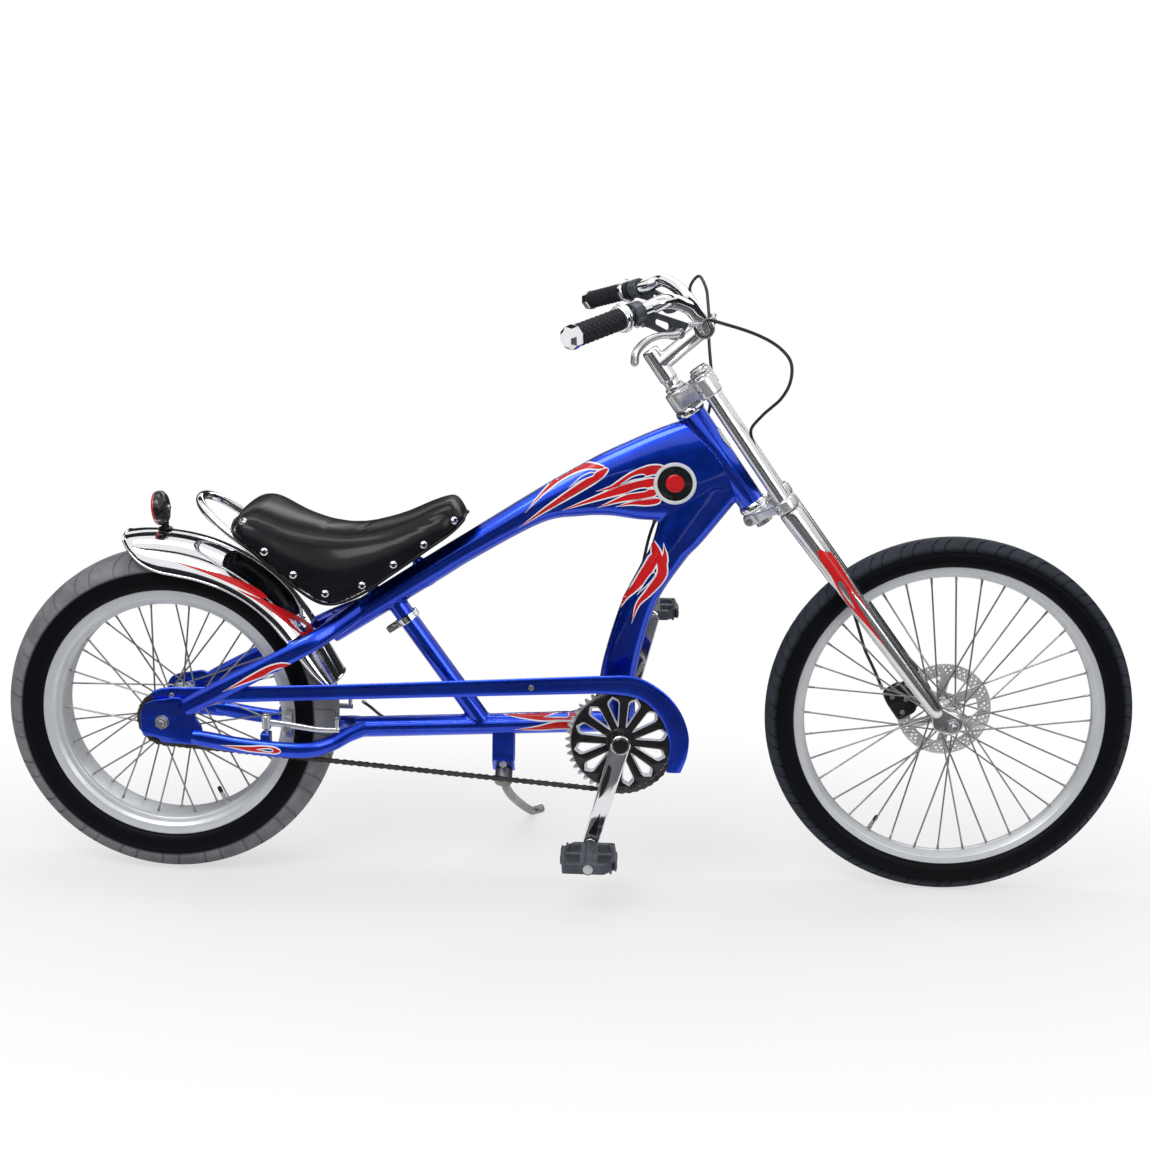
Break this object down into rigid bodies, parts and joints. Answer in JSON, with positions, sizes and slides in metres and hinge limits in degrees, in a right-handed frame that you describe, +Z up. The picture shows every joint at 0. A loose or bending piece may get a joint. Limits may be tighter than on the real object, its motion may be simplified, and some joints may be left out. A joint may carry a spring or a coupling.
{
  "type": "chopper bicycle",
  "caption": "Chopper bicycle with a long raked double-crown fork, wide spoked rear wheel, scooped saddle, single chain drive, disc front brake and kickstand.",
  "frame": {"origin": "on the ground, at the middle of the bicycle's length and width", "axes": "+X forward, +Y to the rider's left, +Z up"},
  "size_m": [1.902, 0.8668, 1.0231],
  "materials": {
    "blue_paint": "gloss metallic blue paint",
    "chrome": "polished chrome plate",
    "steel": "bright steel",
    "alloy": "polished aluminium",
    "tyre_rubber": "smooth sidewall, grooved grey tread",
    "grip_rubber": "matt black rubber",
    "leather": "satin black leather",
    "black_paint": "gloss black paint",
    "grey_plastic": "matt dark grey plastic",
    "red_lens": "clear red prism plastic"
  },
  "bodies": {
    "frame": {"main_frame": "blue_paint", "head_tube": "blue_paint", "bottom_bracket_shell": "blue_paint", "bottom_tube": "blue_paint", "seat_strut": "blue_paint", "seat_stay_right": "blue_paint", "seat_stay_left": "blue_paint", "chain_stay_right": "blue_paint", "chain_stay_left": "blue_paint", "dropout_right": "blue_paint", "dropout_left": "blue_paint", "kickstand_bracket": "blue_paint", "chain_guard": "blue_paint", "seat_clamp_band": "chrome", "rear_fender": "chrome", "tail_reflector_housing": "black_paint", "tail_reflector_lens": "red_lens", "saddle": "leather", "saddle_rail": "chrome", "headset_upper_cup": "chrome", "headset_lower_cup": "chrome", "rear_axle": "steel", "rear_brake_cable": "grip_rubber", "chain": "steel"},
    "fork": {"upper_crown": "chrome", "lower_crown": "chrome", "steerer_tube": "steel", "fork_leg_right": "chrome", "fork_leg_left": "chrome", "stem": "chrome", "handlebar": "chrome", "grip_right": "grip_rubber", "grip_left": "grip_rubber", "lever_perch_right": "grey_plastic", "lever_perch_left": "grey_plastic", "front_brake_cable": "grip_rubber", "rear_brake_cable_front": "grip_rubber", "brake_caliper": "black_paint", "front_axle": "steel"},
    "lever_right": {"brake_lever_right": "alloy"},
    "lever_left": {"brake_lever_left": "alloy"},
    "front_wheel": {"front_tyre": "tyre_rubber", "front_rim": "alloy", "front_spokes": "alloy", "brake_rotor": "steel"},
    "rear_wheel": {"rear_tyre": "tyre_rubber", "rear_rim": "alloy", "rear_spokes": "alloy"},
    "crankset": {"chainring": "chrome", "chainring_disc": "black_paint", "crank_right": "chrome", "crank_left": "chrome"},
    "right_pedal": {"pedal_right": "grey_plastic"},
    "left_pedal": {"pedal_left": "grey_plastic"},
    "kickstand": {"kickstand_leg": "chrome"},
    "rear_brake_right": {"brake_arm_right": "alloy"},
    "rear_brake_left": {"brake_arm_left": "alloy"},
    "freewheel": {"rear_sprocket": "steel"}
  },
  "joints": [
    {"name": "steering", "type": "hinge", "parent": "frame", "child": "fork", "pos_m": [0.24877, 0, 0.73597], "axis": [-0.5793, 0, 0.8151], "range_deg": [-40, 40], "deforming": ["rear_brake_cable_front"]},
    {"name": "front_wheel_spin", "type": "hinge", "parent": "fork", "child": "front_wheel", "pos_m": [0.64425, 0, 0.3067], "axis": [0, 1, 0], "continuous": true},
    {"name": "rear_wheel_spin", "type": "hinge", "parent": "frame", "child": "rear_wheel", "pos_m": [-0.67015, 0, 0.2808], "axis": [0, 1, 0], "continuous": true},
    {"name": "crank_spin", "type": "hinge", "parent": "frame", "child": "crankset", "pos_m": [0.09545, 0, 0.2655], "axis": [0, 1, 0], "continuous": true},
    {"name": "freewheel_spin", "type": "hinge", "parent": "frame", "child": "freewheel", "pos_m": [-0.67015, 0, 0.2808], "axis": [0, 1, 0], "continuous": true},
    {"name": "pedal_right_spin", "type": "hinge", "parent": "crankset", "child": "right_pedal", "pos_m": [0.04834, -0.085, 0.0897], "axis": [0, 1, 0], "continuous": true},
    {"name": "pedal_left_spin", "type": "hinge", "parent": "crankset", "child": "left_pedal", "pos_m": [0.14256, 0.085, 0.4413], "axis": [0, 1, 0], "continuous": true},
    {"name": "kickstand_fold", "type": "hinge", "parent": "frame", "child": "kickstand", "pos_m": [-0.10501, 0.012, 0.18074], "axis": [0, 0.7071, 0.7071], "range_deg": [0, 90]},
    {"name": "brake_lever_right", "type": "hinge", "parent": "fork", "child": "lever_right", "pos_m": [0.1598, -0.27752, 0.95915], "axis": [-0.7239, 0.6899, 0], "range_deg": [0, 12], "stiffness_Nm_per_rad": 0.8},
    {"name": "brake_lever_left", "type": "hinge", "parent": "fork", "child": "lever_left", "pos_m": [0.1598, 0.27752, 0.95915], "axis": [0.7239, 0.6899, 0], "range_deg": [0, 12], "stiffness_Nm_per_rad": 0.8},
    {"name": "rear_brake_right_arm", "type": "hinge", "parent": "frame", "child": "rear_brake_right", "pos_m": [-0.49815, -0.0705, 0.2808], "axis": [0, 0, 1], "range_deg": [0, 3]},
    {"name": "rear_brake_left_arm", "type": "hinge", "parent": "frame", "child": "rear_brake_left", "pos_m": [-0.49815, 0.0705, 0.2808], "axis": [0, 0, -1], "range_deg": [0, 3]}
  ],
  "couplings": [
    {"joint": "freewheel_spin", "follows": "crank_spin", "ratio": 2},
    {"joint": "rear_brake_right_arm", "follows": "brake_lever_left", "ratio": 0.25},
    {"joint": "rear_brake_left_arm", "follows": "brake_lever_left", "ratio": 0.25}
  ]
}
